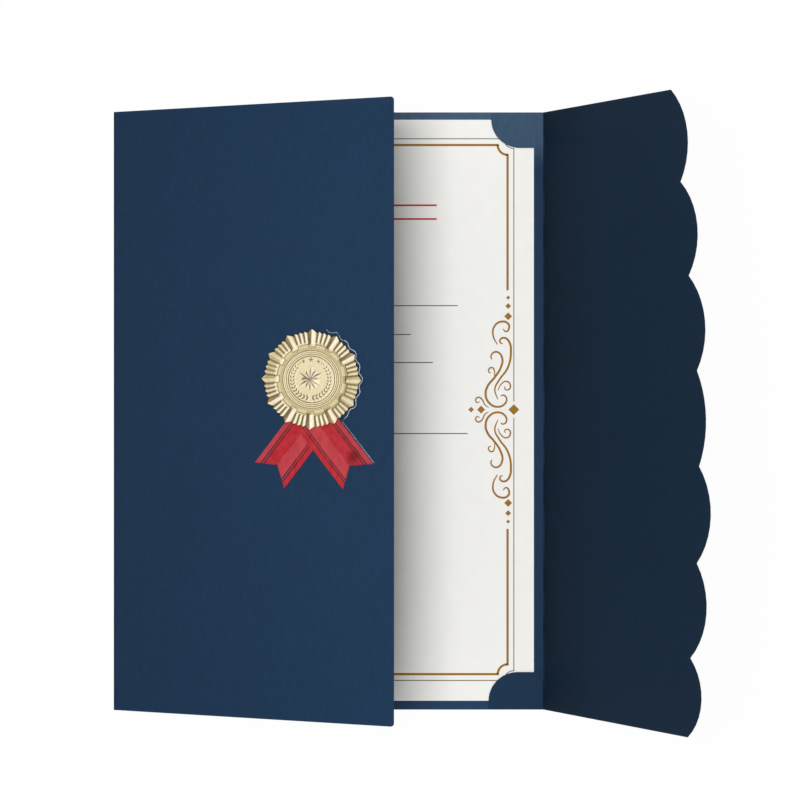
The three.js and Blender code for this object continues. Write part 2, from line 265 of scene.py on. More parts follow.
class Finish:
    """A material under construction: its node tree, its shader and a few shorthands."""

    def __init__(self, name, roughness, specular):
        self.material = bpy.data.materials.new(name)
        self.material.use_nodes = True
        self.tree = self.material.node_tree
        self.shader = self.tree.nodes["Principled BSDF"]
        self.shader.inputs["Roughness"].default_value = roughness
        self.shader.inputs["Specular IOR Level"].default_value = specular

    def node(self, kind, **values):
        """A new node, with its named inputs and properties set."""
        made = self.tree.nodes.new(kind)
        for key, value in values.items():
            socket = key.replace("_", " ").title()
            if socket in made.inputs:
                made.inputs[socket].default_value = value
            else:
                setattr(made, key, value)
        return made

    def link(self, output, target):
        self.tree.links.new(output, target)

    def place(self, output="Object", stretch=(1, 1, 1), turn=(0, 0, 0)):
        """Coordinates to read a pattern by, stretched and turned."""
        source = self.node("ShaderNodeTexCoord")
        mapping = self.node("ShaderNodeMapping")
        mapping.inputs["Scale"].default_value = stretch
        mapping.inputs["Rotation"].default_value = turn
        self.link(source.outputs[output], mapping.inputs["Vector"])
        return mapping.outputs["Vector"]

    def noise(self, scale, detail, output="Object", stretch=(1, 1, 1), turn=(0, 0, 0)):
        """The value of a noise with this many cells to the metre."""
        noise = self.node("ShaderNodeTexNoise", scale=scale, detail=detail)
        self.link(self.place(output, stretch, turn), noise.inputs["Vector"])
        return noise.outputs["Fac"]

    def ramp(self, value, stops):
        """Colours along a value: pairs of position and colour."""
        ramp = self.node("ShaderNodeValToRGB")
        elements = ramp.color_ramp.elements
        while len(elements) < len(stops):
            elements.new(0.5)
        for element, (position, shade) in zip(elements, stops):
            element.position = position
            element.color = (*shade, 1)
        self.link(value, ramp.inputs["Fac"])
        return ramp.outputs["Color"]

    def mix(self, share, first, second):
        """A mix of two colours, each a value or a socket."""
        mix = self.node("ShaderNodeMix", data_type="RGBA")
        for value, target in ((share, mix.inputs[0]), (first, mix.inputs[6]), (second, mix.inputs[7])):
            if isinstance(value, bpy.types.NodeSocket):
                self.link(value, target)
            else:
                target.default_value = value if isinstance(value, float) else (*value, 1)
        return mix.outputs[2]

    def times(self, first, second):
        """Two colours multiplied."""
        product = self.mix(1.0, first, second)
        product.node.blend_type = "MULTIPLY"
        return product

    def grow(self, value, span):
        """A share that grows smoothly from 0 to 1 while a value crosses a span."""
        share = self.node("ShaderNodeMapRange", interpolation_type="SMOOTHSTEP")
        self.link(value, share.inputs["Value"])
        share.inputs["From Min"].default_value, share.inputs["From Max"].default_value = span
        return share.outputs["Result"]

    def reach(self, axis, span):
        """A share that grows from 0 to 1 between two places along the object's own axis."""
        parts = self.node("ShaderNodeSeparateXYZ")
        self.link(self.place(), parts.inputs["Vector"])
        return self.grow(parts.outputs[axis], span)

    def sum(self, first, second, share):
        """first plus share times second."""
        node = self.node("ShaderNodeMath", operation="MULTIPLY_ADD")
        self.link(second, node.inputs[0])
        node.inputs[1].default_value = share
        self.link(first, node.inputs[2])
        return node.outputs[0]

    def bump(self, height, depth, strength):
        """Relief of the surface from a height, depth metres deep."""
        bump = self.node("ShaderNodeBump", distance=depth, strength=strength)
        self.link(height, bump.inputs["Height"])
        self.link(bump.outputs["Normal"], self.shader.inputs["Normal"])

    def paint(self, output):
        self.link(output, self.shader.inputs["Base Color"])


# Painted light and shade on the card: where its colour fades along X or Y, and how light a flap is before
# and after its fade.
# The panel gets painted shade beside the scalloped flap's crease and a painted sheen at its head; the plain
# flap gets painted light towards its free edge, and the scalloped flap painted shade near its crease.
PANEL_SIDE_FADE = (104.2 * MM, 105.4 * MM)
PANEL_HEAD_FADE = (124 * MM, 138 * MM)
OUTER_FADE, OUTER_SHADES = (-110 * MM, 35 * MM), (0.94, 1.16)
INNER_FADE, INNER_SHADES = (109 * MM, 140 * MM), (0.72, 1.04)
# Painted shade in the scalloped flap's crease: shares that darken its card and its ridge.
SCALLOPED_CREASE_SHADES = (0.6, 0.4)  # of the card and of its worn ridge at the scalloped flap's crease
FLAP_ROUGHNESS, PANEL_ROUGHNESS = 0.62, 0.5


def shaded(colour_value, share):
    """A colour made lighter or darker."""
    return tuple(min(1.0, c * share) for c in colour_value)


def grey(share):
    """An even tone."""
    return (share, share, share)


def card_finish(name, face, roughness, side=None, side_fade=PANEL_SIDE_FADE, head=None):
    """Coated card: faint mottling, a fine tooth and short fibres.

    Its colour turns to that of side along X and to that of head along Y: painted light and shade for how
    the light falls on the card.
    """
    finish = Finish(name, roughness, specular=0.14)
    mottle = finish.noise(38, detail=5)
    tooth = finish.noise(1900, detail=2)
    fibres = finish.noise(620, detail=4, stretch=(1, 0.35, 1), turn=(0, 0, 0.4))
    ground = finish.node("ShaderNodeRGB").outputs[0]
    ground.default_value = (*face, 1)
    if side:
        ground = finish.mix(finish.reach("X", side_fade), ground, side)
    if head:
        ground = finish.mix(finish.reach("Y", PANEL_HEAD_FADE), ground, head)
    soft = finish.ramp(mottle, [(0.3, grey(0.94)), (0.7, grey(1.06))])
    fleck = finish.ramp(fibres, [(0.35, grey(0.84)), (0.66, grey(1.18))])
    finish.paint(finish.times(ground, finish.mix(0.45, soft, fleck)))
    finish.bump(finish.sum(tooth, fibres, 0.8), 0.00003, 0.55)
    return finish.material


def wear_and_highlight_finish(name, face, wear_and_highlight):
    """Card along a crease, where the coating is cracked in broken lines, made lighter as a painted
    highlight along the ridge.
    """
    finish = Finish(name, 0.55, specular=0.12)
    cracks = finish.noise(260, detail=6, stretch=(3, 0.22, 3))
    finish.paint(finish.ramp(cracks, [(0.42, face), (0.6, wear_and_highlight)]))
    finish.bump(finish.noise(1500, detail=3), 0.00004, 0.6)
    return finish.material


def paper_finish(name, face):
    """Uncoated paper: faint clouds and a very fine tooth."""
    finish = Finish(name, 0.8, specular=0.25)
    clouds = finish.noise(120, detail=6)
    finish.paint(finish.ramp(clouds, [(0.3, shaded(face, 0.985)), (0.7, shaded(face, 1.01))]))
    finish.bump(finish.noise(2600, detail=3), 0.00002, 0.4)
    return finish.material


def ink_finish(name, face, roughness):
    """Printing ink with slightly uneven cover."""
    finish = Finish(name, roughness, specular=0.15)
    cover = finish.noise(900, detail=4)
    finish.paint(finish.ramp(cover, [(0.3, shaded(face, 0.9)), (0.7, shaded(face, 1.12))]))
    return finish.material


def foil_finish(name, settings):
    """Embossed gold foil: its colour follows a tone of painted light and shade taken from the relief, with
    a fine stipple.
    """
    finish = Finish(name, 0.42, specular=0.3)
    tone = finish.node("ShaderNodeAttribute", attribute_name="tone", attribute_type="GEOMETRY")
    stipple = finish.noise(1300, detail=2)
    gold = finish.ramp(tone.outputs["Fac"], [
        (0.0, settings.groove_shade), (0.3, settings.shade), (0.6, settings.foil), (1.0, settings.light)])
    dots = finish.ramp(stipple, [(0.35, settings.shade), (0.65, settings.light)])
    finish.paint(finish.mix(0.12, gold, dots))
    finish.bump(stipple, 0.00004, 0.45)
    return finish.material


# Bands across a ribbon, as shares of its width from the outer edge. One half is lighter as a painted sheen,
# and the dark bands on the pressed lines are painted shade.
SATIN_BANDS = [
    (0.0, 0.116), (0.12, 0.152), (0.156, 0.174), (0.178, 0.21), (0.214, 0.49),
    (0.51, 0.786), (0.79, 0.822), (0.826, 0.844), (0.848, 0.88),
]
HEM_START = 0.884
# The painted shadow spot: how far up in notch depths, how far outwards in widths, its reach and its tint
SPOT_UP, SPOT_OUT, SPOT_REACH, SHADOW_SPOT_TINT = 1.3, 0.2, 5.5 * MM, (0.4, 0.2, 0.2)


def satin_finish(name, red, sheen_pink, spot=None):
    """Satin ribbon, read along its own map: u runs across from the outer edge, v along from the tips.

    spot is the middle of a painted shadow, where the satin turns dark as if it dipped; its shape has no dip
    there.
    """
    finish = Finish(name, 0.45, specular=0.08)
    across = finish.node("ShaderNodeSeparateXYZ")
    finish.link(finish.place("UV"), across.inputs["Vector"])
    # Painted shade in the dark bands on the pressed lines, and a painted sheen in the lighter half.
    dark, border = shaded(red, 0.03), shaded(sheen_pink, 0.9)
    tones = (border, dark, border, dark, red, sheen_pink, dark, border, dark)
    stops = [(edge, tone) for band, tone in zip(SATIN_BANDS, tones) for edge in band]
    stops += [(HEM_START, shaded(red, 1.1)), (1.0, shaded(red, 1.15))]
    bands = finish.ramp(across.outputs["X"], stops)
    weave = finish.noise(75, detail=2, output="UV", stretch=(0.6, 3.4, 1))
    cloud = finish.noise(4.5, detail=4, output="UV", stretch=(1, 2.2, 1))
    clouded = finish.mix(0.3, bands, finish.ramp(cloud, [(0.35, shaded(red, 0.45)), (0.62, sheen_pink)]))
    woven = finish.mix(0.16, clouded, finish.ramp(weave, [(0.35, dark), (0.65, shaded(sheen_pink, 1.5))]))
    # Painted shadow: the satin darkens towards the spot.
    if spot:
        off = finish.node("ShaderNodeVectorMath", operation="DISTANCE")
        finish.link(finish.place(), off.inputs[0])
        off.inputs[1].default_value = spot
        near = finish.grow(off.outputs["Value"], (0, SPOT_REACH))
        woven = finish.times(woven, finish.ramp(near, [(0.0, SHADOW_SPOT_TINT), (1.0, grey(1))]))
    finish.paint(woven)
    finish.bump(weave, 0.00005, 0.5)
    return finish.material


# Pieces


def add_piece(name, bm, materials, body=None, replaces=(), smooth=True):
    """An object of a finished bmesh, riding on its body."""
    mesh = bpy.data.meshes.new(name)
    bm.to_mesh(mesh)
    bm.free()
    for polygon in mesh.polygons:
        polygon.use_smooth = smooth
    for material in materials:
        mesh.materials.append(material)
    piece = bpy.data.objects.new(name, mesh)
    bpy.context.scene.collection.objects.link(piece)
    if body:
        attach(piece, body)
    if replaces:
        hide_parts(*replaces)
    return piece


def dress(node, material):
    """Gives a node of the frame its finish."""
    piece = frame["nodes"][node]
    piece.data.materials.clear()
    piece.data.materials.append(material)


def add_slab(bm, low, high):
    """An axis-aligned block between two corners."""
    middle, size = (Vector(low) + Vector(high)) / 2, Vector(high) - Vector(low)
    place = Matrix.Translation(middle) @ Matrix.Diagonal((*size, 1))
    bmesh.ops.create_cube(bm, size=1, matrix=place)


def pull(bm, face, vector):
    """Extrudes a face along a vector."""
    raised = bmesh.ops.extrude_face_region(bm, geom=[face])
    top = [item for item in raised["geom"] if isinstance(item, bmesh.types.BMVert)]
    bmesh.ops.translate(bm, verts=top, vec=vector)


MERGE = 1e-7  # vertices closer than this become one
SAME = 1e-6  # places closer than this count as the same
INNER_SIDE = 0.03 * MM  # how near to the bend's inner radius a face's middle lies
WEAR_AND_HIGHLIGHT_SHARE = 0.14  # of the bend, at each of its ends


def close_and_point_out(bm):
    """Closes open ends and turns every face outwards."""
    bmesh.ops.remove_doubles(bm, verts=bm.verts[:], dist=MERGE)
    open_edges = [edge for edge in bm.edges if edge.is_boundary]
    if open_edges:
        bmesh.ops.holes_fill(bm, edges=open_edges)
    bmesh.ops.recalc_face_normals(bm, faces=bm.faces[:])


def add_crease(name, joint_name, side, card_material, wear_and_highlight_material):
    """The rounded card between the panel and a flap: side is 1 at the right crease and -1 at the left."""
    settings = bpy.context.scene.cover_card
    axis, lift = crease(joint_name)
    child = JOINTS[joint_name]["child"]
    opened = lift if side == 1 else math.pi - lift
    bm = bmesh.new()
    foot, head = PANEL_LOW.y, PANEL_HIGH.y
    corners = [bm.verts.new((axis.x, y, z)) for y, z in ((foot, 0), (head, 0), (head, CARD), (foot, CARD))]
    section = bm.faces.new(corners)
    bmesh.ops.spin(
        bm, geom=[section, *section.edges, *section.verts], cent=axis, axis=(0, -side, 0), angle=opened,
        steps=settings.crease_steps,
    )
    close_and_point_out(bm)
    panel_face = next(face for face in bm.faces if all(
        abs(vertex.co.x - axis.x) < SAME and vertex.co.z <= CARD + SAME for vertex in face.verts))
    along = Vector((side * math.cos(opened), 0, math.sin(opened)))
    others = [face for face in bm.faces if face is not panel_face]
    flap_face = max(others, key=lambda face: abs(face.normal.dot(along)))
    gap = flap_box(FLAP_CARDS[child], joint_name)[0].x  # from the axis line to the flat card
    pull(bm, flap_face, along * gap)
    bmesh.ops.delete(bm, geom=[flap_face], context="FACES_ONLY")
    bmesh.ops.recalc_face_normals(bm, faces=bm.faces[:])
    # Faces at both ends of the bend's inner side get the ridge finish: cracked coating with a painted
    # highlight.
    for face in bm.faces:
        middle = face.calc_center_median() - axis
        inner = abs(math.hypot(middle.x, middle.z) - (axis.z - CARD)) < INNER_SIDE
        turned = math.atan2(-middle.z, side * middle.x)
        share = (math.pi / 2 - turned) / opened
        face.material_index = 1 if inner and abs(share - 0.5) > 0.5 - WEAR_AND_HIGHLIGHT_SHARE else 0
    piece = add_piece(name, bm, [card_material, wear_and_highlight_material])
    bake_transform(piece)


# The slit: round the seal, rippled like its rim, then straight down beside the right ribbon
SLIT_START, SLIT_STOP, SLIT_STEP = math.radians(73), math.radians(-50), math.radians(1.5)
SLIT_GAP, SLIT_TIP, SLIT_WAVE = 0.3 * MM, 0.25 * MM, 0.65 * MM
SLIT_CLOSED = 0.35  # share of the core's width that shows where the slit lies closed
SLIT_OPENS = (math.radians(54), math.radians(44))
STRAIGHT_GAP, STRAIGHT_ENDS, STRAIGHT_SHARES = 0.45 * MM, (0.5 * MM, 0.3 * MM), (0.5, 0.8)
CORE_DEPTH, CORE_THICKNESS = 0.12 * MM, 0.18 * MM


def slit_radius(angle):
    """Radius of the slit round the seal at an angle in radians from the main pleat at the right."""
    pleats = bpy.context.scene.cover_seal.pleats
    ripple = SLIT_TIP * math.cos(angle * pleats) + SLIT_WAVE * math.cos(2 * angle * pleats)
    return SEAL_RADIUS + SLIT_GAP + ripple


def slit_line():
    """Points along the slit in the flap's plane, and the share of the core's width at each."""
    angle, line, shares = SLIT_START, [], []
    while angle > SLIT_STOP:
        x, y = slit_radius(angle) * math.cos(angle), slit_radius(angle) * math.sin(angle)
        line.append(Vector((SEAL_CENTRE.x + x, SEAL_CENTRE.y + y, 0)))
        opened = smooth_step(-angle, -SLIT_OPENS[0], -SLIT_OPENS[1])
        shares.append(SLIT_CLOSED + (1 - SLIT_CLOSED) * opened)
        angle -= SLIT_STEP
    tips, along, across = ribbon_line(1)
    foot = tips + across * (bpy.context.scene.cover_ribbon.width / 2 + STRAIGHT_GAP)
    line.append(foot + along * ((line[-1] - foot).dot(along) - STRAIGHT_ENDS[0]))
    line.append(foot + along * STRAIGHT_ENDS[1])
    return line, [*shares, *STRAIGHT_SHARES]


def add_slit_core(material):
    """The pale core of the card that shows along the slit."""
    half = bpy.context.scene.cover_card.core_width / 2
    bm = bmesh.new()
    line, shares = slit_line()
    level = FLAP_FACE - CORE_DEPTH
    previous = None
    for i, here in enumerate(line):
        before, after = line[max(i - 1, 0)], line[min(i + 1, len(line) - 1)]
        forward = (after - before).normalized()
        sideways = Vector((forward.y, -forward.x, 0)) * half * shares[i]
        pair = [bm.verts.new((*(here + offset).xy, level)) for offset in (-sideways, sideways)]
        if previous:
            bm.faces.new((previous[0], previous[1], pair[1], pair[0]))
        previous = pair
    bmesh.ops.solidify(bm, geom=bm.faces[:], thickness=CORE_THICKNESS)
    bmesh.ops.recalc_face_normals(bm, faces=bm.faces[:])
    bmesh.ops.transform(bm, matrix=PLAIN_MATRIX, verts=bm.verts[:])
    add_piece("slit_core", bm, [material], PLAIN_FLAP, smooth=False)


# Certificate: every printed line lies on the sheet's face

PAPER_SHARE = 0.8  # of the CAD sheet's height. The rest is the relief that stands for its print.
SHEET_BEVEL = 0.04 * MM
CORNER_STEPS = 14
SCROLL_TIP, SCROLL_SWELL = 0.5, 0.8  # width of a scroll's ends as a share, and how fast it swells
SCROLL_HEIGHT = 0.45 * MM  # of a scroll's round section, flattened to the print's height
SCROLLS = [  # width and points in millimetres, from the middle of the thin line's opening
    (1.1, [(-8.4, 33.2), (-10.5, 37.5), (-9.9, 42.5), (-6.1, 44.9), (-2.9, 43.8), (-2.5, 41.3),
           (-4.0, 39.8), (-5.5, 41.1)]),
    (1.1, [(-5.7, 33.5), (-7.1, 34.5), (-6.7, 36.0), (-4.8, 36.6), (-2.5, 34.8), (-1.5, 29.0),
           (-3.1, 21.4), (-7.8, 14.6), (-9.7, 10.4), (-8.2, 5.3)]),
    (1.15, [(-11.2, 25.6), (-11.7, 27.1), (-10.5, 29.0), (-8.2, 29.3), (-5.9, 26.1), (-6.7, 21.4),
            (-9.9, 16.3), (-13.3, 12.1), (-14.4, 7.9), (-12.7, 3.5), (-8.2, 1.4), (-4.4, 3.2),
            (-3.8, 6.0), (-5.4, 7.4), (-6.7, 6.9)]),
    (0.8, [(-9.9, 17.2), (-9.9, 19.7), (-11, 21.4), (-12.6, 20.8), (-12.7, 19.1), (-11.6, 18.7)]),
    (0.8, [(-8.2, 9.6), (-6.5, 12.9), (-3.8, 14.4), (-1.8, 12.5), (-2.7, 10.2), (-4.6, 10.6),
           (-4.4, 11.9)]),
    (0.8, [(-12.9, 1.1), (-14.7, 2.4), (-16.3, 5.3), (-18.1, 6.3), (-19.4, 5.2), (-18.8, 3.6),
           (-17.4, 4.1)]),
]
# Diamonds: place and half diagonal. Rules: half length, height above the sheet's middle and width.
MIDDLE_DIAMONDS = [(0, 2.75), (-16.7, 2.05), (-21.8, 1.45)]
LINE_DIAMONDS = [(-2.9, 47.6, 2), (-2.9, 52.8, 1.5), (-2.9, 57.1, 1.05)]
HEADING_RULES = [(55.3, 104.2, 0.9), (55.3, 97.2, 0.9)]
HEADING_DIAMOND = (0, 100.7, 2.4)
WRITING_RULES = [(66, 53, 0.45), (42, 38.3, 0.45), (53.3, 24, 0.45), (71, -12.2, 0.45)]


def sheet_face():
    """Height of the sheet's face, without the relief that stands for its print."""
    return SHEET_LOW.z + (SHEET_HIGH.z - SHEET_LOW.z) * PAPER_SHARE


def add_diamond(bm, x, y, half):
    """A printed diamond: a circle of four, raised to the print's height."""
    height = bpy.context.scene.cover_certificate.print_height
    made = bmesh.ops.create_circle(
        bm, cap_ends=True, segments=4, radius=half, matrix=Matrix.Translation((x, y, sheet_face())))
    pull(bm, made["verts"][0].link_faces[0], (0, 0, height))


def add_rule(bm, half, y, width):
    """A printed straight rule, centred on the sheet."""
    height = bpy.context.scene.cover_certificate.print_height
    add_slab(bm, (-half, y - width / 2, sheet_face()), (half, y + width / 2, sheet_face() + height))


def add_frame_line(bm, inset, width, gap):
    """One line of the printed frame: straight runs, open at both sides, and four hollow corners."""
    settings = bpy.context.scene.cover_certificate
    height, radius = settings.print_height, settings.corner_radius
    low, high = sheet_face(), sheet_face() + height
    x, y = SHEET_HIGH.x - inset, SHEET_HIGH.y - inset
    half = width / 2
    for end in (-1, 1):
        run = sorted((end * (y - half), end * (y + half)))
        add_slab(bm, (-(x - radius + half), run[0], low), (x - radius + half, run[1], high))
        for side in (-1, 1):
            edge = sorted((side * (x - half), side * (x + half)))
            reach = sorted((end * gap / 2, end * (y - radius + half)))
            add_slab(bm, (edge[0], reach[0], low), (edge[1], reach[1], high))
            section = [
                bm.verts.new((side * x + side * dx, end * (y - radius - dy), z))
                for dx, dy, z in ((0, -half, low), (0, half, low), (0, half, high), (0, -half, high))
            ]
            face = bm.faces.new(section)
            bmesh.ops.spin(
                bm, geom=[face, *face.edges, *face.verts], cent=(side * x, end * y, 0), axis=(0, 0, 1),
                angle=-side * end * math.pi / 2, steps=CORNER_STEPS)


def ornament_curve():
    """All scrolls of the side ornaments as one curve, its radius tapering along each scroll."""
    data = bpy.data.curves.new("scrolls", "CURVE")
    data.dimensions = "3D"
    data.bevel_depth = 1.0
    data.bevel_resolution = 1
    data.resolution_u = 6
    data.use_fill_caps = True
    centre = SHEET_HIGH.x - bpy.context.scene.cover_certificate.thin_inset
    for side in (-1, 1):
        for end in (-1, 1):
            for width, points in SCROLLS:
                spline = data.splines.new("BEZIER")
                spline.bezier_points.add(len(points) - 1)
                for i, (x, y) in enumerate(points):
                    share = i / (len(points) - 1)
                    knot = spline.bezier_points[i]
                    knot.co = (side * (centre + x * MM), end * y * MM, 0)
                    knot.handle_left_type = knot.handle_right_type = "AUTO"
                    swell = math.sin(math.pi * share) ** SCROLL_SWELL
                    knot.radius = width * MM / 2 * (SCROLL_TIP + (1 - SCROLL_TIP) * swell)
    return bpy.data.objects.new("scrolls", data)


def add_scrolls(bm):
    """Flattens the scrolls' round curve to the print's height and adds it to the print."""
    source = ornament_curve()
    bpy.context.scene.collection.objects.link(source)
    mesh = bpy.data.meshes.new_from_object(source.evaluated_get(bpy.context.evaluated_depsgraph_get()))
    flat = bpy.context.scene.cover_certificate.print_height / SCROLL_HEIGHT
    mesh.transform(Matrix.Translation((0, 0, sheet_face())) @ Matrix.Diagonal((1, 1, flat, 1)))
    bm.from_mesh(mesh)
    data = source.data
    bpy.data.objects.remove(source)
    bpy.data.curves.remove(data)
    bpy.data.meshes.remove(mesh)


def add_print(name, bm, ink, roughness=0.6):
    """Lay one colour of print on the sheet, a little off its middle, and make it a piece."""
    settings = bpy.context.scene.cover_certificate
    close_and_point_out(bm)
    bmesh.ops.translate(bm, verts=bm.verts, vec=(-settings.aside, settings.rise, 0))
    add_piece(name, bm, [ink_finish(name, ink, roughness)], BACK, smooth=False)


# Ribbons and seal: built in the flap's frame


def ribbon_line(side):
    """Middle of a ribbon's tips, its direction up to the seal and the direction across it."""
    settings = bpy.context.scene.cover_ribbon
    along = Vector((-side * math.sin(settings.lean), math.cos(settings.lean), 0))
    across = Vector((along.y, -along.x, 0))
    middle = SEAL_CENTRE.x + settings.shift
    tips = Vector((middle + side * settings.spread, SEAL_CENTRE.y - settings.drop, 0))
    return tips, along, across


def smooth_step(value, low, high):
    """Rises smoothly from 0 at low to 1 at high."""
    share = max(0.0, min(1.0, (value - low) / (high - low)))
    return share * share * (3 - 2 * share)


def bell(value, middle, width):
    """A bump of height 1 round a middle."""
    return math.exp(-(((value - middle) / width) ** 2))


# Shares of a ribbon's width, and lengths up from its tips
RIDGE_HALF, PRESSED_LINES, PRESSED_WIDTH = 0.3, (0.138, 0.192, 0.808, 0.862), 0.01
WAVE_SCALE, WAVE_START = 9 * MM, (0, 12 * MM)
CLIMB_SPAN = (6 * MM, 22 * MM)
RIBBON_FACES = {"x_segments": 120, "y_segments": 60}


def ribbon_relief(across):
    """Height of the satin across its width, 0 to 1: a low middle ridge and pressed lines near the edges."""
    settings = bpy.context.scene.cover_ribbon
    height = settings.ridge * max(0.0, 1 - abs(across - 0.5) / RIDGE_HALF)
    return height - settings.pressed * sum(bell(across, line, PRESSED_WIDTH) for line in PRESSED_LINES)


def add_ribbon(name, side, material, node):
    """One ribbon tail with a notched end. The right tail climbs over the left one."""
    settings = bpy.context.scene.cover_ribbon
    tips, along, across = ribbon_line(side)
    bm = bmesh.new()
    layer = bm.loops.layers.uv.new("satin")
    bmesh.ops.create_grid(bm, **RIBBON_FACES, size=0.5, calc_uvs=True)
    for vertex in bm.verts:
        sideways, share = vertex.co.x * settings.width, vertex.co.y + 0.5
        upwards = share * settings.reach + settings.notch * (1 - abs(2 * vertex.co.x)) * (1 - share)
        height = FLAP_FACE + settings.lift + ribbon_relief(vertex.co.x + 0.5)
        height += settings.wave * math.sin(upwards / WAVE_SCALE + side) * smooth_step(upwards, *WAVE_START)
        if side == 1:
            height += settings.climb * smooth_step(upwards, *CLIMB_SPAN)
        vertex.co = tips + across * sideways + along * upwards + Vector((0, 0, height))
    if side == 1:
        for loop in (loop for face in bm.faces for loop in face.loops):
            loop[layer].uv.x = 1 - loop[layer].uv.x
    bmesh.ops.solidify(bm, geom=bm.faces[:], thickness=settings.thickness)
    bmesh.ops.recalc_face_normals(bm, faces=bm.faces[:])
    bmesh.ops.transform(bm, matrix=PLAIN_MATRIX, verts=bm.verts[:])
    add_piece(name, bm, [material], PLAIN_FLAP, replaces=(node,))


def pleat_shape(angle):
    """Rim radius, crest share, whether the pleat is a main one, and the angle to a main pleat's side."""
    settings = bpy.context.scene.cover_seal
    period = 2 * math.pi / settings.pleats
    from_main = abs((angle + period / 2) % period - period / 2)
    spread = settings.pleat_spread / 2
    if from_main <= spread:
        crest, tip = 1 - from_main / spread, SEAL_RADIUS
    else:
        small = (from_main - spread) / (period / 2 - spread) * 1.5
        crest, tip = 1 - abs(2 * (small % 1.0) - 1), settings.small_radius
    rim = settings.valley_radius + (tip - settings.valley_radius) * crest
    return rim, crest, from_main <= spread, abs(from_main - spread)


STAR_RAYS = ((math.radians(30), 6.7), (0.0, 5.1))  # turn of the first ray, and reach in millimetres
STAR_INNER, STAR_VALLEY, STAR_SLOPE = 3.5, 0.45, 0.55
SMALL_STAR_NOTCH, SMALL_STAR_SLOPE = 0.62, 0.3


def star_relief(x, y):
    """Height of the middle star, as a share of its rise: long and short rays, each with a ridge."""
    radius, angle = math.hypot(x, y), math.atan2(y, x)
    period = math.pi / 3
    best = 0.0
    for first, reach in STAR_RAYS:
        if radius >= reach:
            continue
        off = abs((angle - first + period / 2) % period - period / 2)
        width = period / 4
        if radius > STAR_INNER:
            width *= (reach - radius) / (reach - STAR_INNER) * STAR_INNER / radius
        valley = STAR_VALLEY * max(0.0, 1 - radius / STAR_INNER)
        if off < width:
            best = max(best, valley + ((1 - radius / reach) ** STAR_SLOPE - valley) * (1 - off / width))
    return best


def small_star(x, y, reach):
    """Share of a small five-pointed star at a point from its centre."""
    radius, angle = math.hypot(x, y), math.atan2(y, x) - math.pi / 2
    period = 2 * math.pi / 5
    off = abs((angle + period / 2) % period - period / 2)
    edge = reach * (1 - SMALL_STAR_NOTCH * off / (period / 2))
    return max(0.0, min(1.0, (edge - radius) / (SMALL_STAR_SLOPE * reach)))


# The wreath: two rows of leaves on each side, from the foot up. A row is its radius and its leaves' tilt.
LEAF_PAIRS, LEAF_START, LEAF_STEP = 12, math.radians(-80), math.radians(10.8)
LEAF_ROWS = ((8.75, -0.7), (10.05, 0.7))
LEAF_LENGTH, LEAF_WIDTH, LEAF_SHRINK = 1.1, 0.48, 0.035


def wreath_leaves():
    """Leaves of the wreath: centre, direction, half length and half width in millimetres."""
    made = []
    for side in (-1, 1):
        for number in range(LEAF_PAIRS):
            turn = LEAF_START + LEAF_STEP * number
            size = 1 - LEAF_SHRINK * number
            for place, tilt in LEAF_ROWS:
                grows = turn + math.pi / 2 - tilt
                x, y = side * place * math.cos(turn), place * math.sin(turn)
                grows = grows if side == 1 else math.pi - grows
                made.append((x, y, grows, LEAF_LENGTH * size, LEAF_WIDTH * size))
    return made


def leaf_relief(x, y, leaf_list):
    """Height of the wreath at a point: the highest of its leaves."""
    best = 0.0
    for cx, cy, turn, long_half, short_half in leaf_list:
        dx, dy = x - cx, y - cy
        if abs(dx) > long_half or abs(dy) > long_half:
            continue
        u = (dx * math.cos(turn) + dy * math.sin(turn)) / long_half
        v = (-dx * math.sin(turn) + dy * math.cos(turn)) / short_half
        inside = 1 - u * u - v * v
        if inside > 0:
            best = max(best, inside ** 0.5)
    return best


# The seal's relief, in millimetres. A mark is its height and the shade that it adds.

FIELD, FIELD_EDGE, MIDDLE_EDGE = 0.45, 15.9, 11.5
ENGRAVED_RINGS = [(11.7, 0.62), (12.6, 0.5), (13.5, 0.3), (14.5, 0.3), (15.3, 0.2)]  # radius and strength
RING_WIDTH, RING_DEPTH, RING_SHADE = 0.24, 0.3, 1.2
LIP_OFFSET, LIP_WIDTH, LIP_SHINE = 0.44, 0.2, 0.7
RAISED_RINGS = [(12.15, 0.2, 0.3), (14.0, 0.1, 0.35)]  # radius, height and width
RAISED_SHINE, MIDDLE_SHINE = 0.3, 0.1
KNURLS, KNURL_START, KNURL_TONE, KNURL_DEPTH = 120, (13.9, 14.3), 0.08, 0.1
STAR_RISE = 1.45
SMALL_STARS = [(90, 9.7, 1.5), (67, 9.6, 1.1), (113, 9.6, 1.1)]  # turn in degrees, radius and reach
BEADS = [(57, 9.6), (50, 9.6), (123, 9.6), (130, 9.6)]
BEAD_RADIUS = 0.35
LEAF_MARK, SMALL_STAR_MARK, BEAD_MARK = (0.3, 0.5), (0.2, 0.5), (0.15, 0.35)

# Pleats: run of their rise, height, roundness of the crest and width of the shade in the valley
MAIN_PLEAT, SMALL_PLEAT = (1.3, 1.15, 1.0, 0.28), (0.7, 0.75, 0.7, 0.3)
PLEAT_BASE, PLEAT_FALL, FALL_START, VALLEY_SHADE = 0.4, 0.3, 20, 0.5
STEP_INSET, STEP_WIDTH, STEP_SHADE = 0.45, 0.22, 0.4
STEP_SIDE_WIDTH, STEP_SIDE_SHADE = 0.25, 0.3


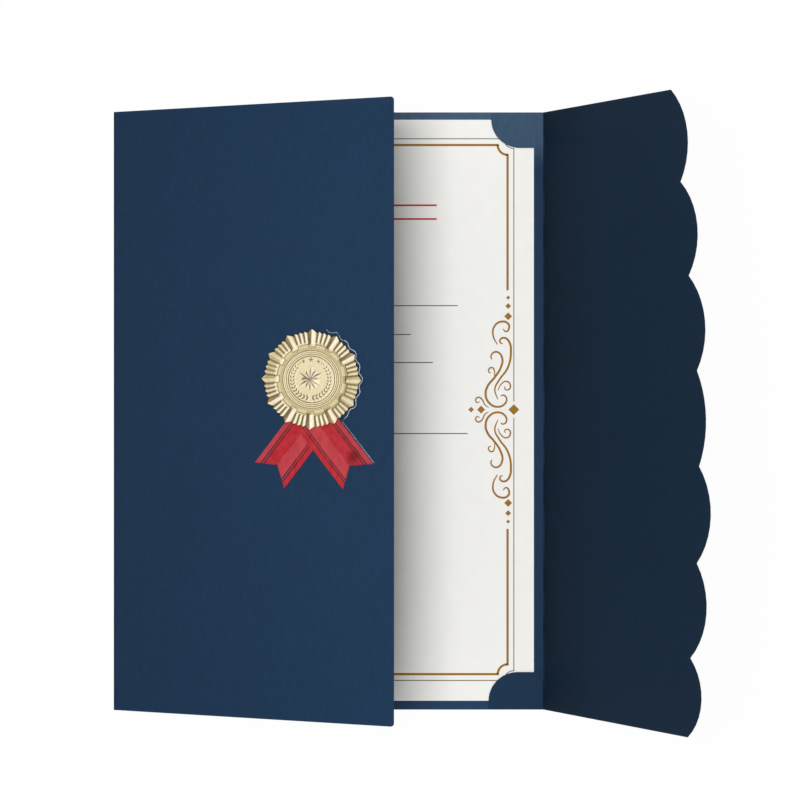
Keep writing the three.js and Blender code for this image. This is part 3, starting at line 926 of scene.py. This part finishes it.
def pleat_relief(radius, angle):
    """Height and shade of the pleated rim and of the stepped line inside it."""
    settings = bpy.context.scene.cover_seal
    rim, crest, main, aside = pleat_shape(angle)
    main_start, small_start = settings.pleat_start / MM, settings.small_start / MM
    start = main_start if main else small_start
    run, tall, roundness, valley = MAIN_PLEAT if main else SMALL_PLEAT
    rise = smooth_step(radius, start, start + run)
    fall = 1 - PLEAT_FALL * smooth_step(radius, FALL_START, rim / MM)
    height = PLEAT_BASE + rise * fall * tall * crest ** roundness
    shade = VALLEY_SHADE * rise * bell(crest, 0, valley)
    shade += STEP_SHADE * bell(radius, start - STEP_INSET, STEP_WIDTH)
    if main_start - STEP_INSET < radius < small_start - STEP_INSET:
        shade += STEP_SIDE_SHADE * bell(aside * radius, 0, STEP_SIDE_WIDTH)
    return height, shade


def middle_marks(x, y, leaf_list):
    """What is embossed round the middle star: each share of a mark at a point, with the mark."""
    yield leaf_relief(x, y, leaf_list), LEAF_MARK
    for turn, place, reach in SMALL_STARS:
        yield small_star(*seen_from(x, y, turn, place), reach), SMALL_STAR_MARK
    for turn, place in BEADS:
        yield bell(math.hypot(*seen_from(x, y, turn, place)), 0, BEAD_RADIUS), BEAD_MARK


def seen_from(x, y, turn, place):
    """A point's offset from a spot that lies this many degrees round and this far out."""
    return x - place * math.cos(math.radians(turn)), y - place * math.sin(math.radians(turn))


def seal_relief(radius, angle, leaf_list):
    """Height and shade at a place on the seal."""
    if radius > FIELD_EDGE:
        return pleat_relief(radius, angle)
    height, shade = FIELD, 0.0
    for ring, strength in ENGRAVED_RINGS:
        mark = bell(radius, ring, RING_WIDTH)
        height -= RING_DEPTH * strength * mark
        shade += strength * (RING_SHADE * mark - LIP_SHINE * bell(radius, ring + LIP_OFFSET, LIP_WIDTH))
    for ring, rise, width in RAISED_RINGS:
        height += rise * bell(radius, ring, width)
    shade -= RAISED_SHINE * bell(radius, RAISED_RINGS[0][0], LIP_WIDTH)
    shade += smooth_step(radius, *KNURL_START) * (KNURL_TONE + KNURL_DEPTH * math.sin(KNURLS * angle))
    if radius < MIDDLE_EDGE:
        x, y = radius * math.cos(angle), radius * math.sin(angle)
        height += STAR_RISE * star_relief(x, y)
        shade -= MIDDLE_SHINE
        for share, (rise, tint) in middle_marks(x, y, leaf_list):
            height += rise * share
            shade += tint * share
    return height, shade


# Painted light and shade on the seal: a vertex's tone is the plain tone plus its facing towards this fixed
# light times the gain, less the painted shade from the relief; the star gets a stronger gain.
FOIL_LIGHT = Vector((0.95, -0.3, 0))
FOIL_TONE, FOIL_GAIN, STAR_GAIN = 0.6, 1.05, 1.7
UNDERSIDE_INSET = 0.7 * MM
LEVEL = 0.15 * MM  # between the levels of the seal's profile: underside, lower edge of the rim, and face


def add_seal(material):
    """The seal: a profile spun to a disc, its rim pulled to the pleats' outline and its face embossed."""
    settings = bpy.context.scene.cover_seal
    bm = bmesh.new()
    under = [(0, 0), (settings.pleat_start - UNDERSIDE_INSET, 0), (SEAL_RADIUS, LEVEL)]
    face = [(SEAL_RADIUS * i / settings.rings, 2 * LEVEL) for i in range(settings.rings, -1, -1)]
    profile = [bm.verts.new((x, 0, z)) for x, z in under + face]
    edges = [bm.edges.new(pair) for pair in zip(profile, profile[1:])]
    bmesh.ops.spin(
        bm, geom=[*profile, *edges], cent=(0, 0, 0), axis=(0, 0, 1), angle=2 * math.pi,
        steps=settings.pleats * settings.spokes, use_merge=True)
    bmesh.ops.remove_doubles(bm, verts=bm.verts[:], dist=MERGE)
    layer = bm.verts.layers.float.new("tone")
    leaf_list = wreath_leaves()
    for vertex in bm.verts:
        radius, angle, level = vertex.co.xy.length, math.atan2(vertex.co.y, vertex.co.x), vertex.co.z
        if level < LEVEL / 2:
            vertex.co.z = LEVEL
            continue
        if radius > settings.pleat_start:
            share = (radius - settings.pleat_start) / (SEAL_RADIUS - settings.pleat_start)
            radius = settings.pleat_start + (pleat_shape(angle)[0] - settings.pleat_start) * share
        height, vertex[layer] = seal_relief(radius / MM, angle, leaf_list)
        if level < 1.5 * LEVEL:
            height -= settings.thickness / MM
        vertex.co = (radius * math.cos(angle), radius * math.sin(angle), height * MM)
    bmesh.ops.recalc_face_normals(bm, faces=bm.faces[:])
    if bm.calc_volume(signed=True) < 0:
        bmesh.ops.reverse_faces(bm, faces=bm.faces[:])
    bm.normal_update()
    # Paint light and shade into each vertex's tone.
    for vertex in bm.verts:
        facing = vertex.normal.dot(FOIL_LIGHT)
        if vertex.co.xy.length < STAR_RAYS[0][1] * MM:
            facing *= STAR_GAIN
        vertex[layer] = max(0.0, min(1.0, FOIL_TONE + FOIL_GAIN * facing - vertex[layer]))
    place = Matrix.Translation((SEAL_CENTRE.x, SEAL_CENTRE.y, FLAP_FACE + settings.lift))
    place = place @ Matrix.Diagonal((settings.across, settings.along, 1, 1))
    place = place @ Matrix.Rotation(settings.turn, 4, "Z")
    bmesh.ops.transform(bm, matrix=PLAIN_MATRIX @ place, verts=bm.verts[:])
    add_piece("embossed_seal", bm, [material], PLAIN_FLAP, replaces=("seal_rosette",))


# Operators


class COVER_OT_card(bpy.types.Operator):
    """Give the panel, the flaps and the pockets their card finish, with painted light and shade"""

    bl_idname = "cover.card"
    bl_label = "Card"

    def execute(self, context):
        settings = context.scene.cover_card
        # Painted light and shade: each flap's colour turns from its near share to its far share along its
        # fade, lighter towards the plain flap's free edge and darker at the scalloped flap's crease.
        for node, name, face, shades, fade in (
            ("left_flap", "outer_card", settings.outer, OUTER_SHADES, OUTER_FADE),
            ("right_flap", "inner_card", settings.inner, INNER_SHADES, INNER_FADE),
        ):
            near, far = (shaded(face, share) for share in shades)
            dress(node, card_finish(name, near, FLAP_ROUGHNESS, side=far, side_fade=fade))
        # Painted shade on the panel's strip beside the scalloped crease, and a painted sheen at its head.
        dress("back_panel", card_finish(
            "panel_card", settings.panel, PANEL_ROUGHNESS,
            side=settings.shaded_panel_side, head=settings.sheen_panel_head))
        # Painted sheen on the head pockets.
        pocket = card_finish("pocket_card", settings.pocket, PANEL_ROUGHNESS, head=settings.sheen_pocket_head)
        for node in frame["nodes"]:
            if node.startswith("pocket_"):
                dress(node, pocket)
        return {"FINISHED"}


class COVER_OT_creases(bpy.types.Operator):
    """Bend the card round both creases and show the pale core in the slit"""

    bl_idname = "cover.creases"
    bl_label = "Creases and slit"

    def execute(self, context):
        settings = context.scene.cover_card
        card = bpy.data.materials
        # Painted shade: the card and the ridge in the scalloped flap's crease are darkened.
        inner, ridge = shaded(settings.inner, SCALLOPED_CREASE_SHADES[0]), shaded(settings.wear_and_highlight, SCALLOPED_CREASE_SHADES[1])
        # Both creases get a ridge of cracked coating with a painted highlight.
        outer_wear_and_highlight = wear_and_highlight_finish("outer_card_wear_and_highlight", settings.outer, settings.wear_and_highlight)
        shaded_inner_wear_and_highlight = wear_and_highlight_finish("inner_card_wear_highlight_and_shade", inner, ridge)
        add_crease("crease_left", "plain_flap_crease", -1, card["outer_card"], outer_wear_and_highlight)
        add_crease("crease_right", "scalloped_flap_crease", 1, card["inner_card"], shaded_inner_wear_and_highlight)
        add_slit_core(paper_finish("card_core", settings.core))
        return {"FINISHED"}


class COVER_OT_certificate(bpy.types.Operator):
    """Lay the certificate and its print in the pockets"""

    bl_idname = "cover.certificate"
    bl_label = "Certificate"

    def execute(self, context):
        settings = context.scene.cover_certificate
        bm = bmesh.new()
        low = (SHEET_LOW.x, SHEET_LOW.y + settings.trim, SHEET_LOW.z)
        add_slab(bm, low, (SHEET_HIGH.x - settings.trim, SHEET_HIGH.y, sheet_face()))
        bmesh.ops.bevel(
            bm, geom=bm.edges[:], affect="EDGES", offset=SHEET_BEVEL, segments=2, profile=0.5, material=-1)
        add_piece("certificate", bm, [paper_finish("certificate_paper", settings.paper)], BACK,
                  replaces=("certificate_sheet",), smooth=False)

        bm = bmesh.new()
        add_frame_line(bm, settings.thick_inset, settings.thick_width, settings.thick_gap)
        centre = SHEET_HIGH.x - settings.thin_inset
        for side in (-1, 1):
            for x, half in MIDDLE_DIAMONDS:
                add_diamond(bm, side * (centre + x * MM), 0, half * MM)
            for end in (-1, 1):
                for x, y, half in LINE_DIAMONDS:
                    add_diamond(bm, side * (centre + x * MM), end * y * MM, half * MM)
        add_scrolls(bm)
        add_print("gold_frame_print", bm, settings.gold, 0.45)

        bm = bmesh.new()
        add_frame_line(bm, settings.thin_inset, settings.thin_width, settings.thin_gap)
        add_print("fine_frame_print", bm, settings.fine)

        bm = bmesh.new()
        for half, y, width in HEADING_RULES:
            add_rule(bm, half * MM, y * MM, width * MM)
        x, y, half = HEADING_DIAMOND
        add_diamond(bm, x * MM, y * MM, half * MM)
        add_print("heading_print", bm, settings.heading)

        bm = bmesh.new()
        for half, y, width in WRITING_RULES:
            add_rule(bm, half * MM, y * MM, width * MM)
        add_print("writing_rules", bm, settings.writing)
        return {"FINISHED"}


class COVER_OT_ribbons(bpy.types.Operator):
    """Lay the two ribbon tails on the plain flap"""

    bl_idname = "cover.ribbons"
    bl_label = "Ribbons"

    def execute(self, context):
        settings = context.scene.cover_ribbon
        red, sheen_pink = settings.red, settings.sheen_pink
        tips, along, across = ribbon_line(1)
        # Middle of the painted shadow spot on the right tail.
        spot = tips + along * settings.notch * SPOT_UP + across * settings.width * SPOT_OUT
        left = satin_finish("left_satin", red, sheen_pink)
        right = satin_finish("right_satin", red, sheen_pink, PLAIN_MATRIX @ spot)
        add_ribbon("ribbon_tail_left", -1, left, "ribbon_left")
        add_ribbon("ribbon_tail_right", 1, right, "ribbon_right")
        return {"FINISHED"}


class COVER_OT_seal(bpy.types.Operator):
    """Emboss the gold seal over the ribbons"""

    bl_idname = "cover.seal"
    bl_label = "Seal"

    def execute(self, context):
        settings = context.scene.cover_seal
        add_seal(foil_finish("gold_foil", settings))
        return {"FINISHED"}


class COVER_OT_stage(bpy.types.Operator):
    """Set the camera, the floor and the light"""

    bl_idname = "cover.stage"
    bl_label = "Stage"

    def execute(self, context):
        settings = context.scene.cover_stage
        camera = bpy.data.objects.new("camera", bpy.data.cameras.new("camera"))
        camera.location = settings.camera_place
        camera.data.sensor_width = 36
        camera.data.lens = settings.lens
        camera.data.clip_start, camera.data.clip_end = 0.05, 10
        context.scene.collection.objects.link(camera)
        context.scene.camera = camera
        add_floor()
        add_softbox("key_softbox", settings.key_place, settings.key_size, settings.key_power)
        add_softbox("head_lamp", settings.sheen_place, settings.sheen_size, settings.sheen_power)
        light_world(settings.fill)
        context.scene.view_settings.view_transform = "Standard"
        return {"FINISHED"}


FLOOR_HALF, FLOOR_DROP = 3.0, 0.2 * MM
TABLE_GREY = 0.85
TABLE_WHITE = 0.965  # share of plain white in what the camera sees of the table
LIGHTS_AIM = Vector((0.03, 0, 0))


def add_floor():
    """A white table top that the camera sees as white, with a soft trace of the shadow."""
    bm = bmesh.new()
    bmesh.ops.create_grid(bm, x_segments=1, y_segments=1, size=FLOOR_HALF)
    bmesh.ops.translate(bm, verts=bm.verts[:], vec=(0, 0, -FLOOR_DROP))
    finish = Finish("white_table", 0.9, specular=0.1)
    finish.shader.inputs["Base Color"].default_value = (*grey(TABLE_GREY), 1)
    white = finish.node("ShaderNodeEmission", color=(1, 1, 1, 1), strength=1.0)
    mix = finish.node("ShaderNodeMixShader")
    share = finish.node("ShaderNodeMath", operation="MULTIPLY")
    finish.link(seen_white(finish), share.inputs[0])
    share.inputs[1].default_value = TABLE_WHITE
    finish.link(share.outputs[0], mix.inputs[0])
    finish.link(finish.shader.outputs[0], mix.inputs[1])
    finish.link(white.outputs[0], mix.inputs[2])
    finish.link(mix.outputs[0], finish.tree.nodes["Material Output"].inputs["Surface"])
    floor = add_piece("table_top", bm, [finish.material])


def seen_white(finish):
    """1 for rays that show the background: from the camera, and by way of gloss or glass."""
    path = finish.node("ShaderNodeLightPath")
    seen = path.outputs["Is Camera Ray"]
    for kind in ("Is Glossy Ray", "Is Transmission Ray"):
        most = finish.node("ShaderNodeMath", operation="MAXIMUM")
        finish.link(seen, most.inputs[0])
        finish.link(path.outputs[kind], most.inputs[1])
        seen = most.outputs[0]
    return seen


def add_softbox(name, place, size, power):
    """A square area lamp that faces the middle of the cover."""
    lamp = bpy.data.objects.new(name, bpy.data.lights.new(name, "AREA"))
    lamp.data.size = size
    lamp.data.energy = power
    lamp.location = place
    lamp.rotation_euler = (LIGHTS_AIM - Vector(place)).to_track_quat("-Z", "Y").to_euler()
    bpy.context.scene.collection.objects.link(lamp)


def light_world(fill):
    """An even fill all round, which the camera sees as white."""
    world = bpy.data.worlds.new("studio")
    world.use_nodes = True
    bpy.context.scene.world = world
    nodes, links = world.node_tree.nodes, world.node_tree.links
    path = nodes.new("ShaderNodeLightPath")
    strength = nodes.new("ShaderNodeMath")
    strength.operation = "MULTIPLY_ADD"
    strength.inputs[1].default_value = 1 - fill
    strength.inputs[2].default_value = fill
    links.new(path.outputs["Is Camera Ray"], strength.inputs[0])
    background = nodes["Background"]
    background.inputs["Color"].default_value = (1, 1, 1, 1)
    links.new(strength.outputs[0], background.inputs["Strength"])


class COVER_PT_panel(bpy.types.Panel):
    """The steps that dress the cover"""

    bl_idname = "COVER_PT_panel"
    bl_label = "Certificate Cover"
    bl_space_type = "VIEW_3D"
    bl_region_type = "UI"
    bl_category = "Cover"

    def draw(self, context):
        for operator in OPERATORS:
            self.layout.operator(operator.bl_idname)
        for group in SETTINGS:
            box = self.layout.box()
            for name in SETTINGS[group].__annotations__:
                box.prop(getattr(context.scene, group), name)


OPERATORS = (
    COVER_OT_stage,
    COVER_OT_card,
    COVER_OT_creases,
    COVER_OT_certificate,
    COVER_OT_ribbons,
    COVER_OT_seal,
)
SETTINGS = {
    "cover_card": CardSettings,
    "cover_certificate": CertificateSettings,
    "cover_seal": SealSettings,
    "cover_ribbon": RibbonSettings,
    "cover_stage": StageSettings,
}


def register():
    for cls in (*SETTINGS.values(), *OPERATORS, COVER_PT_panel):
        bpy.utils.register_class(cls)
    for name, group in SETTINGS.items():
        setattr(bpy.types.Scene, name, PointerProperty(type=group))


def unregister():
    for name in SETTINGS:
        delattr(bpy.types.Scene, name)
    for cls in (COVER_PT_panel, *reversed(OPERATORS), *reversed(SETTINGS.values())):
        bpy.utils.unregister_class(cls)


def main():
    register()
    bpy.ops.cover.stage()
    bpy.ops.cover.card()
    bpy.ops.cover.creases()
    bpy.ops.cover.certificate()
    bpy.ops.cover.ribbons()
    bpy.ops.cover.seal()
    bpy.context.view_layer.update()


if __name__ == "__main__":
    main()
